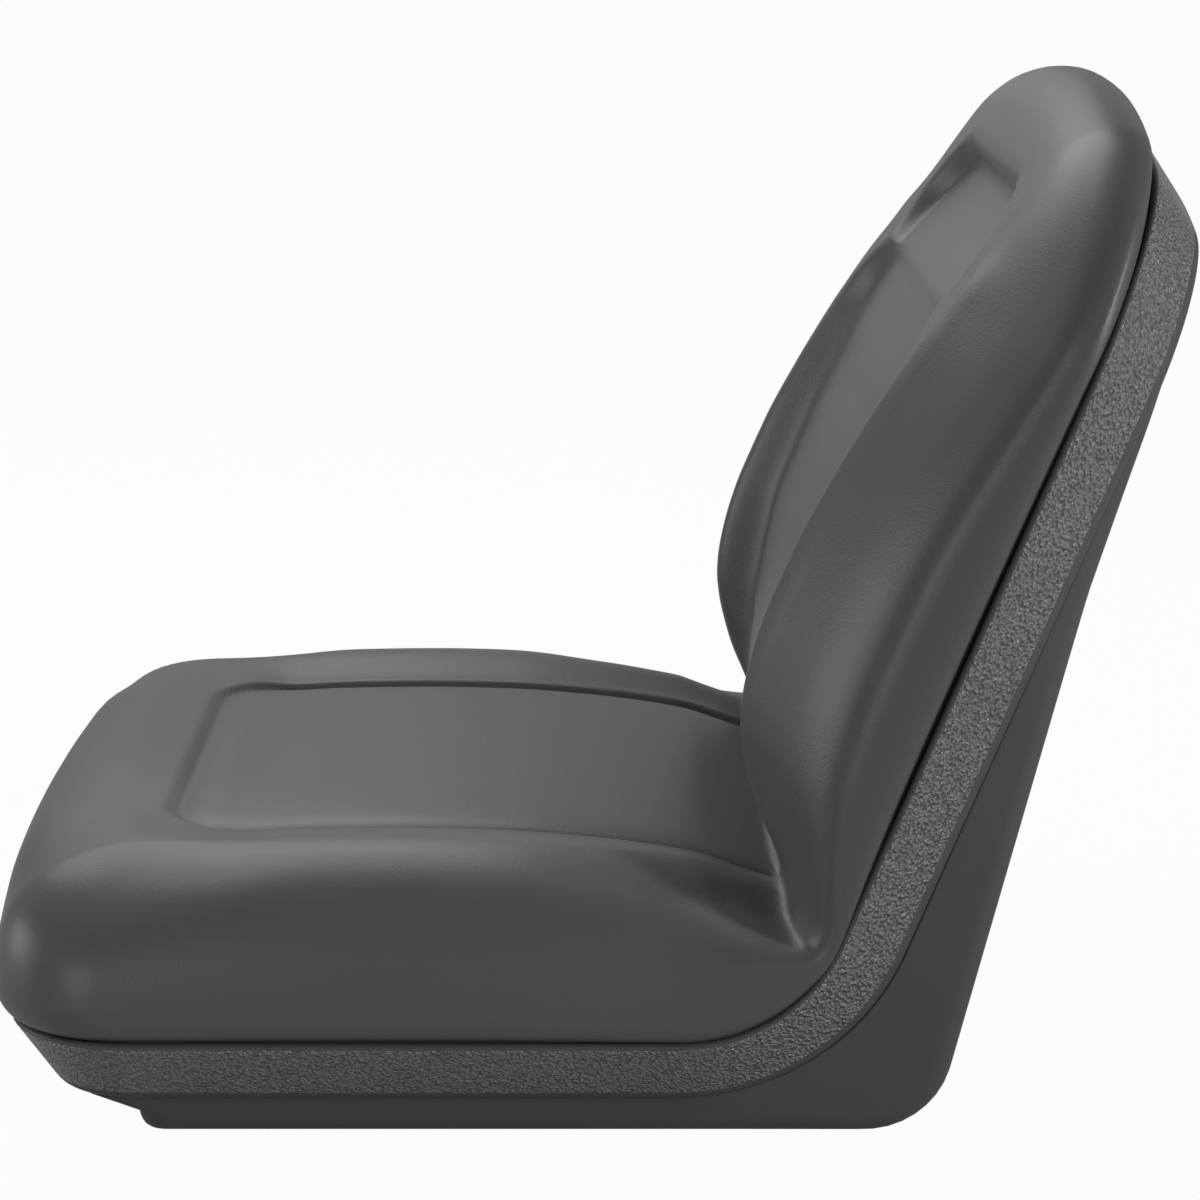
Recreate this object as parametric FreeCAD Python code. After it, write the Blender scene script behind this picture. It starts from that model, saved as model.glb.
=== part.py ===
import FreeCAD, Part
import math
import os

V = FreeCAD.Vector

# Ride-on mower seat. Millimetres, +Z up, the seat faces -Y, the operator's
# left is +X. The base is on z = 0 and the origin is the centre of the long
# pattern of mounting inserts.
#
# The rim of the pan is one bent sheet: a level seat stretch, a bend and a
# leaning back stretch. Shapes are given by where they are on that sheet and
# how far they are above it (h, towards the sitter) or below it.

# Main sizes
WIDE = 488.0            # across the rim of the pan
LONG = 555.5            # from the front roll to the rear of the rim
RIM_TOP = 444.6         # height of the top of the rim over the base
RIM_Z = 51.0            # height of the seat's rim over the base
LEAN = 22.5             # lean of the back from upright, degrees

# Rim sheet
BEND_R = 78.0           # radius of the rim line where the seat turns up
BEND_Y = 82.4           # where the bend starts
FRONT_CORNER = 60.0     # radius of the front corners
FRONT_BOW = 1500.0      # radius of the bowed front edge
TOP_CORNER = 95.0       # radius of the top corners
TOP_BOW = 1000.0        # radius of the bowed top edge

# Pan
BAND_DEEP = 31.0        # depth of the slanted band under the rim
BAND_IN = 20.0          # how far the band slants in
LIP_W = 6.0             # width of the raised lip round the cushion
LIP_H = 5.0             # height of the lip over the sheet the cushion lies on
WALL = 4.0              # wall of the blow-moulded pan
HULL_STEP = 4.0         # step in from the foot of the band to the hull
HULL_EDGE = 9.0         # rounding along the hull's edges
BASE_FRONT = -160.0     # front of the flat base
HULL_FRONT = -196.0     # front of the hull where it meets the band
HEEL_R = 54.0           # radius of the heel between base and back
HEEL_Y = 198.5          # where the back of the hull would meet the base
REAR_LEAN = 14.3        # lean of the hull's lower back, degrees
REAR_BREAK = 250.0      # height where the hull's back leans over more
REAR_TOP_LEAN = 17.4    # lean of the hull's upper back, degrees
HULL_TOP_IN = 40.0      # inner face of the hull's back, under the top of the rim

# Mounting inserts (5/16 in. screws, 11.5 in. across)
HOLE_R = 4.0            # bore of an insert
INSERT_FLAT = 13.0      # an insert's hexagon across its flats
INSERT_LONG = 18.0      # length of an insert
INSERT_END = 3.0        # closed end of an insert
INSERT_X = 146.05       # half the spacing across
ROW_FRONT = -142.875    # front row
ROW_MIDDLE = 60.325     # second row, 8 in. behind the front row
ROW_REAR = 142.875      # third row, 11.25 in. behind the front row
BOSS_SIDE = 28.0        # side of the square boss round an insert
BOSS_H = 25.0           # height of a boss inside the pan
DRAIN_R = 5.0           # drain hole in the base
DRAIN_Y = -41.0         # where the drain hole is

# Cushion
CUSHION_IN = 7.5        # foot of the cushion, in from the rim
CUSHION_SIDE = 1.0      # side of the cushion over the lip, in from the rim
NOSE = 4.0              # how far the front roll swells past the rim
HEAD_SWELL = 12.0       # how far the top of the back swells past the rim
HEAD_ROUND = 105.0      # radius of the cushion's top corners
HEAD_BOW = 560.0        # radius of the cushion's top edge
FOOT_GAP = 0.5          # clearance under the cushion
FOOT_LAP = 6.0          # how far the foot runs up into the cushion
LIP_GAP = 1.5           # shadow gap over the lip
EDGE_R = 40.0           # rounding along the cushion's edges
SEAT_H = 75.5           # top of the seat over the rim sheet
SEAT_LEVEL = 0.0        # where the seat's top starts to fall to the fold
SEAT_FALL_R = 260.0     # radius of that fall
SEAT_BEHIND = 12.0      # how far the seat runs in under the back
WING_H = 81.5           # most forward part of the back wings over the rim sheet
WING_T = 170.0          # where that is, up the back
WING_FOOT = 44.0        # foot of the wings, up the back
WING_ROUND = 60.0       # where the rounding of the wings' edges starts
WING_LOW_R = 150.0      # radius of the wings down to the fold
WING_HIGH_R = 500.0     # radius of the wings above
WING_LEAN = 12.5        # lean of the back's front above the wings, degrees
PANEL_HALF = 145.0      # half the width of the seat panel, to its groove
PANEL_FRONT = -152.0    # groove behind the front roll
PANEL_CORNER = 28.0     # corner radius of that groove
GROOVE_R = 12.0         # radius of the groove
GROOVE_DEEP = 4.5       # depth of the groove
BACK_PANEL_HALF = 143.0     # half the width of the back panel at its edge
BACK_PANEL_TOP = 318.0      # top of the back panel, up the back
BACK_PANEL_FOOT = 40.0      # foot of the back panel, up the back
BACK_PANEL_H = 60.0         # most forward part of the panel over the rim sheet
BACK_PANEL_T = 190.0        # where that is
BACK_PANEL_LOW_R = 246.0    # radius of the panel below
BACK_PANEL_HIGH_R = 1000.0  # radius of the panel above
BACK_PANEL_CORNER = 45.0    # corner radius of the panel
PANEL_SLOPE = 0.8           # run of the panel's walls for each unit of depth
PANEL_DEEP = 40.0           # how far those walls go on under the panel
HEAD_LOW = 328.0            # foot of the headrest recess
HEAD_TOP = 380.0            # top of the headrest recess
HEAD_HALF = 122.0           # half the width of the headrest recess
HEAD_CORNER = 24.0          # its corner radius
HEAD_DROP = 9.0             # its depth
HEAD_SIDE_IN = 16.0         # how far its side walls lean in
HEAD_END_IN = 10.0          # how far its end walls lean in

# Working values
SPARE = 5.0             # how far a cutting body reaches past what it cuts
SAME = 0.01             # points closer than this are one point

TURN = math.radians(90.0 - LEAN)
BACK_START = BEND_R * math.tan(TURN / 2.0)
UP = V(0.0, math.sin(math.radians(LEAN)), math.cos(math.radians(LEAN)))
OUT = V(0.0, -math.cos(math.radians(LEAN)), math.sin(math.radians(LEAN)))
CORNER = V(0.0, BEND_Y + BACK_START, RIM_Z)
RIM_HALF = WIDE / 2.0
BACK_T = (RIM_TOP - RIM_Z) / UP.z
TIP = CORNER + UP * BACK_T
FRONT_Y = (TIP - UP * BAND_IN - OUT * BAND_DEEP).y - LONG + NOSE
LEAN_UP = UP * math.cos(math.radians(WING_LEAN)) - OUT * math.sin(math.radians(WING_LEAN))
LEAN_OUT = OUT * math.cos(math.radians(WING_LEAN)) + UP * math.sin(math.radians(WING_LEAN))
FOOT_H = FOOT_GAP - LIP_H


def on_seat(x, y, h):
    return V(x, y, RIM_Z + h)


def on_bend(x, part, h):
    angle = TURN * part
    r = BEND_R - h
    return V(x, BEND_Y + r * math.sin(angle), RIM_Z + BEND_R - r * math.cos(angle))


def on_back(x, t, h):
    return CORNER + UP * t + OUT * h + V(x, 0, 0)


def on_lean(x, t, h):
    return TIP + LEAN_UP * t + LEAN_OUT * h + V(x, 0, 0)


def chain(place, h, *steps):
    """Wire of lines (two points) and arcs (three points) given as (x, y) pairs."""
    edges = []
    for step in steps:
        ends = [place(x, y, h) for x, y in step]
        edges.append(Part.makeLine(*ends) if len(ends) == 2 else Part.Arc(*ends).toShape())
    return Part.Wire(edges)


def outline(place, h, half, near, far, corner, bow):
    """Rim outline: straight from near, round corners and a bowed end at far."""
    way = 1.0 if far > near else -1.0
    bow_y = far - way * bow
    rise = math.sqrt((bow - corner) ** 2 - (half - corner) ** 2)
    corner_x, corner_y = half - corner, bow_y + way * rise
    angle = math.atan2(rise, corner_x)
    end_x, end_y = bow * math.cos(angle), bow_y + way * bow * math.sin(angle)
    mid_x = corner_x + corner * math.cos(angle / 2)
    mid_y = corner_y + way * corner * math.sin(angle / 2)
    return chain(place, h,
                 ((half, near), (half, corner_y)),
                 ((half, corner_y), (mid_x, mid_y), (end_x, end_y)),
                 ((end_x, end_y), (0, far), (-end_x, end_y)),
                 ((-end_x, end_y), (-mid_x, mid_y), (-half, corner_y)),
                 ((-half, corner_y), (-half, near)), ((-half, near), (half, near)))


def seat_outline(inset, h, rear=BEND_Y):
    return outline(on_seat, h, RIM_HALF - inset, rear, FRONT_Y + inset,
                   FRONT_CORNER - inset, FRONT_BOW - inset)


def back_outline(inset, h, start=BACK_START):
    return outline(on_back, h, RIM_HALF - inset, start, BACK_T - inset,
                   TOP_CORNER - inset, TOP_BOW - inset)


def sheet(inset_top, h_top, inset_low, h_low):
    """Body between two heights over the rim sheet, each with its own inset."""
    seat = Part.makeLoft([seat_outline(inset_top, h_top), seat_outline(inset_low, h_low)], True, True)
    back = Part.makeLoft([back_outline(inset_top, h_top), back_outline(inset_low, h_low)], True, True)
    section = Part.Face(Part.makePolygon([
        on_seat(RIM_HALF - inset_top, BEND_Y, h_top), on_seat(inset_top - RIM_HALF, BEND_Y, h_top),
        on_seat(inset_low - RIM_HALF, BEND_Y, h_low), on_seat(RIM_HALF - inset_low, BEND_Y, h_low),
        on_seat(RIM_HALF - inset_top, BEND_Y, h_top)]))
    bend = section.revolve(V(0, BEND_Y, RIM_Z + BEND_R), V(1, 0, 0), math.degrees(TURN))
    return seat.fuse([bend, back]).removeSplitter()


# The hull under the band: one side profile right across, with rounded edges.

def hull_profile(low):
    """Side profile of the hull, pulled in by low, and its points along the outside."""
    lean = math.tan(math.radians(REAR_LEAN))
    rear = low / math.cos(math.radians(REAR_LEAN))
    heel = HEEL_Y - rear + low * lean
    heel_r = HEEL_R - low
    turn = math.radians(90.0 - REAR_LEAN)
    run = heel_r * math.tan(turn / 2.0)
    start = V(0, heel - run, low)
    mid = V(0, start.y + heel_r * math.sin(turn / 2.0), low + heel_r * (1 - math.cos(turn / 2.0)))
    end = V(0, heel + run * math.cos(turn), low + run * math.sin(turn))
    knee = V(0, HEEL_Y - rear + REAR_BREAK * lean, REAR_BREAK)
    top_z = on_back(0, BACK_T - HULL_TOP_IN, 0).z
    top = V(0, knee.y + (top_z - REAR_BREAK) * math.tan(math.radians(REAR_TOP_LEAN)), top_z)
    inside = -BAND_DEEP / 2
    inner_top = on_back(0, BACK_T - HULL_TOP_IN, inside)
    bend = [on_back(0, BACK_START, inside), on_bend(0, 0.5, inside), on_seat(0, BEND_Y, inside)]
    front = on_seat(0, HULL_FRONT + low, inside)
    foot = V(0, BASE_FRONT + low / 2, low)
    profile = Part.Wire([
        Part.makeLine(foot, start), Part.Arc(start, mid, end).toShape(), Part.makeLine(end, knee),
        Part.makeLine(knee, top), Part.makeLine(top, inner_top), Part.makeLine(inner_top, bend[0]),
        Part.Arc(*bend).toShape(), Part.makeLine(bend[2], front), Part.makeLine(front, foot)])
    return profile, (foot, start, end, knee, top, front)


def hull(shrink, soften):
    """Hull pulled in by shrink; soften rounds or bevels the edges along its sides."""
    profile, outside = hull_profile(shrink)
    inset = BAND_IN + HULL_STEP + shrink
    half = RIM_HALF - inset
    profile.translate(V(-half, 0, 0))
    body = Part.Face(profile).extrude(V(2 * half, 0, 0))

    def on_outside(p):
        return any(math.hypot(p.y - o.y, p.z - o.z) < SAME for o in outside)
    along = []
    for e in body.Edges:
        ends = [v.Point for v in e.Vertexes]
        if abs(ends[0].x - ends[1].x) < SAME and all(on_outside(p) for p in ends):
            along.append(e)
    body = soften(body, along)
    far = LONG + RIM_TOP
    seat_plan = Part.Face(seat_outline(inset, far, far)).extrude(V(0, 0, -2 * far))
    back_plan = Part.Face(back_outline(inset, far, -far)).extrude(OUT * (-2 * far))
    return body.common(seat_plan).common(back_plan)


def insert_places():
    return [V(side * INSERT_X, y, 0) for y in (ROW_FRONT, ROW_MIDDLE, ROW_REAR) for side in (-1, 1)]


def hexagon(place):
    r = INSERT_FLAT / math.sqrt(3.0)
    turns = [k * math.pi / 3 for k in range(7)]
    corners = [place + V(r * math.cos(a), r * math.sin(a), 0) for a in turns]
    return Part.Face(Part.makePolygon(corners)).extrude(V(0, 0, INSERT_LONG))


def make_pan():
    band = sheet(0.0, 0.0, BAND_IN, -BAND_DEEP)
    shell = band.fuse(hull(0.0, lambda body, edges: body.makeFillet(HULL_EDGE, edges))).removeSplitter()
    shell = shell.cut(sheet(LIP_W, SPARE, LIP_W, -LIP_H))
    room = sheet(LIP_W, -LIP_H - WALL, BAND_IN + WALL / 2, -BAND_DEEP + WALL)
    room = room.fuse(hull(WALL, lambda body, edges: body.makeChamfer(HULL_EDGE - WALL, edges)))
    corner = V(BOSS_SIDE / 2, BOSS_SIDE / 2, 0)
    room = room.cut([Part.makeBox(BOSS_SIDE, BOSS_SIDE, BOSS_H, p - corner) for p in insert_places()])
    holes = [hexagon(p) for p in insert_places()]
    drain = Part.makeCylinder(DRAIN_R, 3 * WALL, V(0, DRAIN_Y, -WALL))
    return shell.cut([room, drain] + holes).removeSplitter()


def make_inserts():
    bores = [Part.makeCylinder(HOLE_R, INSERT_LONG - INSERT_END, p) for p in insert_places()]
    return Part.makeCompound([hexagon(p).cut(bore) for p, bore in zip(insert_places(), bores)])


# Cushion: a seat block and a back block with rounded edges, joined along the
# fold, then the panels, and a foot that lies inside the lip.

def across(half, *edges):
    """Body right across the seat from a closed side profile."""
    profile = Part.Wire(list(edges))
    profile.translate(V(-half, 0, 0))
    return Part.Face(profile).extrude(V(2 * half, 0, 0))


def lines(*points):
    """Straight edges from point to point."""
    return [Part.makeLine(a, b) for a, b in zip(points, points[1:])]


def arc_down(place, start, height, r, reach):
    """Side curve that starts level at (start, height) and falls with radius r over reach."""
    whole = math.asin(reach / r)
    at = [(start + r * math.sin(a), height - r * (1 - math.cos(a))) for a in (0.0, whole / 2, whole)]
    return Part.Arc(*[place(0, y, h) for y, h in at]).toShape(), at[2]


def rounded(body, towards, keep):
    """Body with the outline of its faces that look one way rounded, where keep says so."""
    chosen = []
    for face in body.Faces:
        u0, u1, v0, v1 = face.ParameterRange
        if face.normalAt((u0 + u1) / 2, (v0 + v1) / 2).dot(towards) > 0.55:
            chosen += [e for e in face.Edges if keep(e)]
    outer = [e for e in chosen if sum(e.isSame(o) for o in chosen) == 1]
    return body.makeFillet(EDGE_R, outer)


def seat_block():
    reach = CORNER.y + SEAT_BEHIND
    front = FRONT_Y - NOSE
    wall = outline(on_seat, -EDGE_R, RIM_HALF - CUSHION_SIDE, reach, front, FRONT_CORNER, FRONT_BOW)
    walls = Part.Face(wall).extrude(V(0, 0, SEAT_H * 2 + EDGE_R))
    fall, end = arc_down(on_seat, SEAT_LEVEL, SEAT_H, SEAT_FALL_R, reach + SPARE - SEAT_LEVEL)
    far, low = front - SPARE, -EDGE_R - SPARE
    under = across(RIM_HALF + SPARE, fall, *lines(
        on_seat(0, end[0], end[1]), on_seat(0, end[0], low), on_seat(0, far, low),
        on_seat(0, far, SEAT_H), on_seat(0, SEAT_LEVEL, SEAT_H)))
    return rounded(walls.common(under), V(0, 0, 1),
                   lambda e: min(v.Point.y for v in e.Vertexes) < reach - SPARE)


def back_body(drop, behind):
    """Body of the back with its front set back by drop."""
    lean = math.radians(WING_LEAN)
    high_r = WING_HIGH_R - drop
    low, low_end = arc_down(on_back, WING_T, WING_H - drop, WING_LOW_R - drop, WING_FOOT - WING_T)
    high, high_end = arc_down(on_back, WING_T, WING_H - drop, high_r, high_r * math.sin(lean))
    top = BACK_T + 2 * HEAD_SWELL
    tip_h = high_end[1] - (top - high_end[0]) * math.tan(lean)
    return across(RIM_HALF + SPARE, low, high, *lines(
        on_back(0, *high_end), on_back(0, top, tip_h), on_back(0, top, behind),
        on_back(0, low_end[0], behind), on_back(0, *low_end)))


def back_block():
    wall = outline(on_lean, -2 * EDGE_R, RIM_HALF - CUSHION_SIDE, -BACK_T, HEAD_SWELL, HEAD_ROUND, HEAD_BOW)
    walls = Part.Face(wall).extrude(LEAN_OUT * (WING_H * 2 + EDGE_R * 2))
    block = walls.common(back_body(0.0, -EDGE_R - SPARE))
    return rounded(block, OUT,
                   lambda e: max((v.Point - CORNER).dot(UP) for v in e.Vertexes) > WING_ROUND)


def seat_groove():
    """Groove round the seat panel, open to the rear: rods and quarter rings."""
    h = SEAT_H + GROOVE_R - GROOVE_DEEP
    half, front, r = PANEL_HALF, PANEL_FRONT, PANEL_CORNER
    start = on_seat(r - half, front, h)
    rods = [Part.makeCylinder(GROOVE_R, 2 * (half - r), start, V(1, 0, 0))]
    for side in (-1, 1):
        along = on_seat(side * half, front + r, h)
        rods.append(Part.makeCylinder(GROOVE_R, BEND_Y - front - r, along, V(0, 1, 0)))
        circle = Part.makeCircle(GROOVE_R, on_seat(side * (half - r), front, h), V(1, 0, 0))
        centre = on_seat(side * (half - r), front + r, h)
        rods.append(Part.Face(Part.Wire(circle)).revolve(centre, V(0, 0, 1), side * 90.0))
    return rods[0].multiFuse(rods[1:])


def panel_outline(h, half, low, top, corner, all_round):
    k = corner * (1 - math.sqrt(0.5))
    steps = [((half, low + corner), (half, top - corner)),
             ((half, top - corner), (half - k, top - k), (half - corner, top)),
             ((half - corner, top), (corner - half, top)),
             ((corner - half, top), (k - half, top - k), (-half, top - corner)),
             ((-half, top - corner), (-half, low + corner))]
    if all_round:
        steps += [((-half, low + corner), (k - half, low + k), (corner - half, low)),
                  ((corner - half, low), (half - corner, low)),
                  ((half - corner, low), (half - k, low + k), (half, low + corner))]
    else:
        steps += [((-half, low + corner), (half, low + corner))]
    return chain(on_back, h, *steps)


def back_panel():
    """What is taken out in front of the back panel, with sloping walls."""
    rise = WING_H - BACK_PANEL_H + 2 * SPARE
    out, under = rise * PANEL_SLOPE, PANEL_DEEP * PANEL_SLOPE
    inner = panel_outline(BACK_PANEL_H - PANEL_DEEP, BACK_PANEL_HALF - under, 0.0,
                          BACK_PANEL_TOP - under, BACK_PANEL_CORNER, False)
    outer = panel_outline(BACK_PANEL_H + rise, BACK_PANEL_HALF + out, 0.0,
                          BACK_PANEL_TOP + out, BACK_PANEL_CORNER, False)
    room = Part.makeLoft([inner, outer], True, True)
    peak = (BACK_PANEL_T, BACK_PANEL_H)
    low, low_end = arc_down(on_back, *peak, BACK_PANEL_LOW_R, BACK_PANEL_FOOT - BACK_PANEL_T)
    high, high_end = arc_down(on_back, *peak, BACK_PANEL_HIGH_R, BACK_T - BACK_PANEL_T)
    far = WING_H + PANEL_DEEP
    ahead = across(RIM_HALF, low, high, *lines(
        on_back(0, *high_end), on_back(0, high_end[0], far),
        on_back(0, low_end[0], far), on_back(0, *low_end)))
    return room.common(ahead)


def head_panel():
    """What is taken out in front of the headrest recess."""
    inner = panel_outline(0.0, HEAD_HALF - HEAD_SIDE_IN, HEAD_LOW + HEAD_END_IN, HEAD_TOP - HEAD_END_IN,
                          HEAD_CORNER / 2, True)
    outer = panel_outline(WING_H, HEAD_HALF, HEAD_LOW, HEAD_TOP, HEAD_CORNER, True)
    room = Part.makeLoft([inner, outer], True, True)
    return room.cut(back_body(HEAD_DROP, -EDGE_R))


def make_cushion():
    past = 2 * HEAD_SWELL
    under = sheet(-past, LIP_GAP, -past, -2 * EDGE_R)
    body = seat_block().fuse(back_block())
    body = body.cut([under, seat_groove(), back_panel(), head_panel()])
    return body.fuse(sheet(CUSHION_IN, LIP_GAP + FOOT_LAP, CUSHION_IN, FOOT_H)).removeSplitter()


NODES = (("seat_pan", make_pan), ("seat_cushion", make_cushion), ("threaded_inserts", make_inserts))

os.makedirs("parts", exist_ok=True)
for name, make in NODES:
    shape = make()
    shape.exportStep("parts/" + name + ".step")
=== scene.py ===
import bmesh
import bpy
import math
import numpy as np
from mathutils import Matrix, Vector
from mathutils.geometry import delaunay_2d_cdt


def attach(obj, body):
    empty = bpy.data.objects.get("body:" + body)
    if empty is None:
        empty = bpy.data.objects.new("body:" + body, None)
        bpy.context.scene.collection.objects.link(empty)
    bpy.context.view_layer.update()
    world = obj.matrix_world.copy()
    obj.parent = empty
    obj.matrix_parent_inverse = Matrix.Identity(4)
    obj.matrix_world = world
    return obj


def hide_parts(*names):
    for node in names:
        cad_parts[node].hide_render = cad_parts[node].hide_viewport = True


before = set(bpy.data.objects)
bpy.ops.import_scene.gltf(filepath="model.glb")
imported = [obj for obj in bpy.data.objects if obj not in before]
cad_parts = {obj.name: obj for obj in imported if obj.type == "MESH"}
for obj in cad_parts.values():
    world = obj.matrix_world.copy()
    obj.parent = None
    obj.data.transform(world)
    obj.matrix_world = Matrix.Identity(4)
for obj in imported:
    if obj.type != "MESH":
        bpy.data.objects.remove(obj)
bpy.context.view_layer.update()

# Ride-on mower seat: a moulded cushion in a one-piece plastic pan. Sizes are in
# millimetres and meshes are made in metres. The seat faces -Y.
#
# The rim of the pan is one bent sheet: a level seat stretch, a bend and a
# leaning back stretch. A point is given by x, by how far it is along the sheet
# (run, 0 where the bend starts) and by its height over the sheet (h). A place
# on the seat stretch is also given by its y, and one on the back stretch by t,
# its distance up from where the two stretches would meet.

MM = 0.001
TINY = 1e-6
SEARCH_STEPS = 40       # halvings in a search for a height

# Rim sheet

RIM_Z = 51.0
RIM_HALF = 244.0
BEND_R = 78.0
BEND_Y = 82.4           # where the bend starts
LEAN = math.radians(22.5)
FRONT_Y = -233.0
FRONT_CORNER = 60.0
FRONT_BOW = 1500.0
BACK_T = 426.0          # top of the rim
TOP_CORNER = 95.0
TOP_BOW = 1000.0
TURN = math.pi / 2.0 - LEAN
TURN_SOFT = 0.35        # how softly the cushion's uprights turn in the bend
BACK_START = BEND_R * math.tan(TURN / 2.0)
BEND_RUN = BEND_R * TURN


def run_at_y(y):
    return y - BEND_Y


def run_at_part(part):
    """Run at a part of the way round the bend."""
    return part * BEND_RUN


def run_at_t(t):
    return BEND_RUN + t - BACK_START


def between(a, b, f):
    """The value a part f of the way from a to b."""
    return a + (b - a) * f


def ease(x):
    """0 to 1 with soft ends."""
    x = np.clip(x, 0.0, 1.0)
    return x * x * (3.0 - 2.0 * x)


def eased(x, start, end):
    """0 before start, 1 past end and a soft step between."""
    return ease((x - start) / (end - start))


def side_of(x):
    """-1 on the left, 1 on the right and in the middle."""
    return np.where(x < 0.0, -1.0, 1.0)


def ramp(x, soft):
    """Zero below 0 and x above it, rounded over soft to each side."""
    return np.where(np.abs(x) < soft, (x + soft) ** 2 / (4.0 * soft), np.maximum(x, 0.0))


def soft_max(a, b, wide):
    """The larger of two heights, with a rounded inside corner."""
    f = np.maximum(wide - np.abs(a - b), 0.0) / wide
    return np.maximum(a, b) + wide * f ** 3 / 6.0


def curve(table):
    """Smooth curve through a table of (place, value) that never overshoots."""
    at, val = np.array(table, float).T
    step = np.diff(at)
    rate = np.diff(val) / step
    slope = np.zeros(len(at))
    slope[0] = rate[0]
    slope[-1] = rate[-1]
    for i in range(1, len(at) - 1):
        if rate[i - 1] * rate[i] > 0.0:
            w1 = 2.0 * step[i] + step[i - 1]
            w2 = step[i] + 2.0 * step[i - 1]
            slope[i] = (w1 + w2) / (w1 / rate[i - 1] + w2 / rate[i])

    def value(x):
        x = np.clip(x, at[0], at[-1])
        i = np.clip(np.searchsorted(at, x, side="right") - 1, 0, len(step) - 1)
        f = (x - at[i]) / step[i]
        a = (1.0 + 2.0 * f) * (1.0 - f) ** 2 * val[i] + f * (1.0 - f) ** 2 * step[i] * slope[i]
        b = f * f * (3.0 - 2.0 * f) * val[i + 1] + f * f * (f - 1.0) * step[i] * slope[i + 1]
        return a + b
    return value


def sheet_point(x, run, h):
    """Places over the bent sheet, as an array of points."""
    angle = np.clip(run, 0.0, BEND_RUN) / BEND_R
    r = BEND_R - h
    along = np.where(run < 0.0, run, np.maximum(run - BEND_RUN, 0.0))
    y = BEND_Y + r * np.sin(angle) + along * np.cos(angle)
    z = RIM_Z + BEND_R - r * np.cos(angle) + along * np.sin(angle)
    return np.stack([np.broadcast_to(x, y.shape), y, z], axis=-1)


def cushion_point(x, run, h):
    """Places over the sheet, the upright turning softly into and out of the bend."""
    foot = sheet_point(x, run, 0.0)
    angle = ramp(run / BEND_R, TURN_SOFT) - ramp(run / BEND_R - TURN, TURN_SOFT)
    up = np.stack([np.zeros_like(angle), -np.sin(angle), np.cos(angle)], axis=-1)
    return foot + np.asarray(h)[..., None] * up


class End:
    """Rounded end of an outline: corner arcs and a bowed edge, in (x, reach)."""

    def __init__(self, half, far, corner, bow):
        self.half = half
        self.corner = corner
        self.bow = bow
        self.bow_at = far - bow
        rise = math.sqrt((bow - corner) ** 2 - (half - corner) ** 2)
        self.cx = half - corner
        self.cy = self.bow_at + rise
        self.angle = math.atan2(rise, half - corner)

    def depth(self, x, y):
        """Distance inside the outline and the outward direction there."""
        ax = np.abs(x)
        side = self.half - ax
        out = np.hypot(ax, y - self.bow_at)
        end = self.bow - out
        dx, dy = ax - self.cx, y - self.cy
        turn = np.arctan2(dy, dx)
        in_corner = (turn > 0.0) & (turn < self.angle) & (dx > 0.0)
        away = np.maximum(np.hypot(dx, dy), TINY)
        d = np.where(in_corner, self.corner - away, np.minimum(side, end))
        nx = np.where(in_corner, dx / away, np.where(side < end, 1.0, ax / out))
        ny = np.where(in_corner, dy / away, np.where(side < end, 0.0, (y - self.bow_at) / out))
        return d, nx * side_of(x), ny

    def edge(self, f):
        """Point on the end from the middle (f 0) to a corner's middle (f -1 or 1)."""
        flat = self.bow * (math.pi / 2.0 - self.angle)
        s = np.abs(f) * (flat + self.corner * self.angle / 2.0)
        on_bow = s <= flat
        a = math.pi / 2.0 - np.minimum(s, flat) / self.bow
        b = self.angle - np.maximum(s - flat, 0.0) / self.corner
        x = np.where(on_bow, self.bow * np.cos(a), self.cx + self.corner * np.cos(b))
        y = np.where(on_bow, self.bow_at + self.bow * np.sin(a), self.cy + self.corner * np.sin(b))
        return x * side_of(f), y

    def side(self, f, near):
        """Point on the right side from near (f 0) to the corner's middle (f 1)."""
        straight = self.cy - near
        s = f * (straight + self.corner * self.angle / 2.0)
        a = np.maximum(s - straight, 0.0) / self.corner
        x = np.where(s <= straight, self.half, self.cx + self.corner * np.cos(a))
        y = np.where(s <= straight, near + s, self.cy + self.corner * np.sin(a))
        return x, y

    def fill(self, a, b, near):
        """Spreads a in -1..1 across and b in 0..1 from near over the whole end."""
        ex, ey = self.edge(a)
        sx, sy = self.side(b, near)
        kx, ky = self.side(np.ones_like(b), near)
        x = between(a * self.half, ex, b) + sx * a - between(self.half * a, kx * a, b)
        y = between(near, ey, b) + sy - between(near, ky, b)
        return x, y

    def right_half(self, steps, corner_steps):
        """Points from the middle of the end to the right and round that corner."""
        a = np.linspace(math.pi / 2.0, self.angle, steps)
        b = np.linspace(self.angle, 0.0, corner_steps)[1:]
        x = np.concatenate([self.bow * np.cos(a), self.cx + self.corner * np.cos(b)])
        y = np.concatenate([self.bow_at + self.bow * np.sin(a), self.cy + self.corner * np.sin(b)])
        x[0] = 0.0
        return x, y


# Cushion: outline

FOOT_H = -4.5           # foot of the cushion, over the sheet
CUSHION_IN = 7.5        # foot of the cushion, in from the rim
SWELL = 7.0             # how far the sides swell past the foot
NOSE = 9.5              # how far the front roll swells past it
NOSE_CORNER = 52.0
NOSE_BOW = 2300.0
HEAD_SWELL = 20.0       # how far the top of the back swells past it
HEAD_ROUND = 100.0
HEAD_BOW = 1000.0
SEAT_END_Y = -130.0     # where the rounded front end starts
BACK_END_T = 250.0      # where the rounded top end starts

# Cushion: rows and columns of its skin

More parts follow.
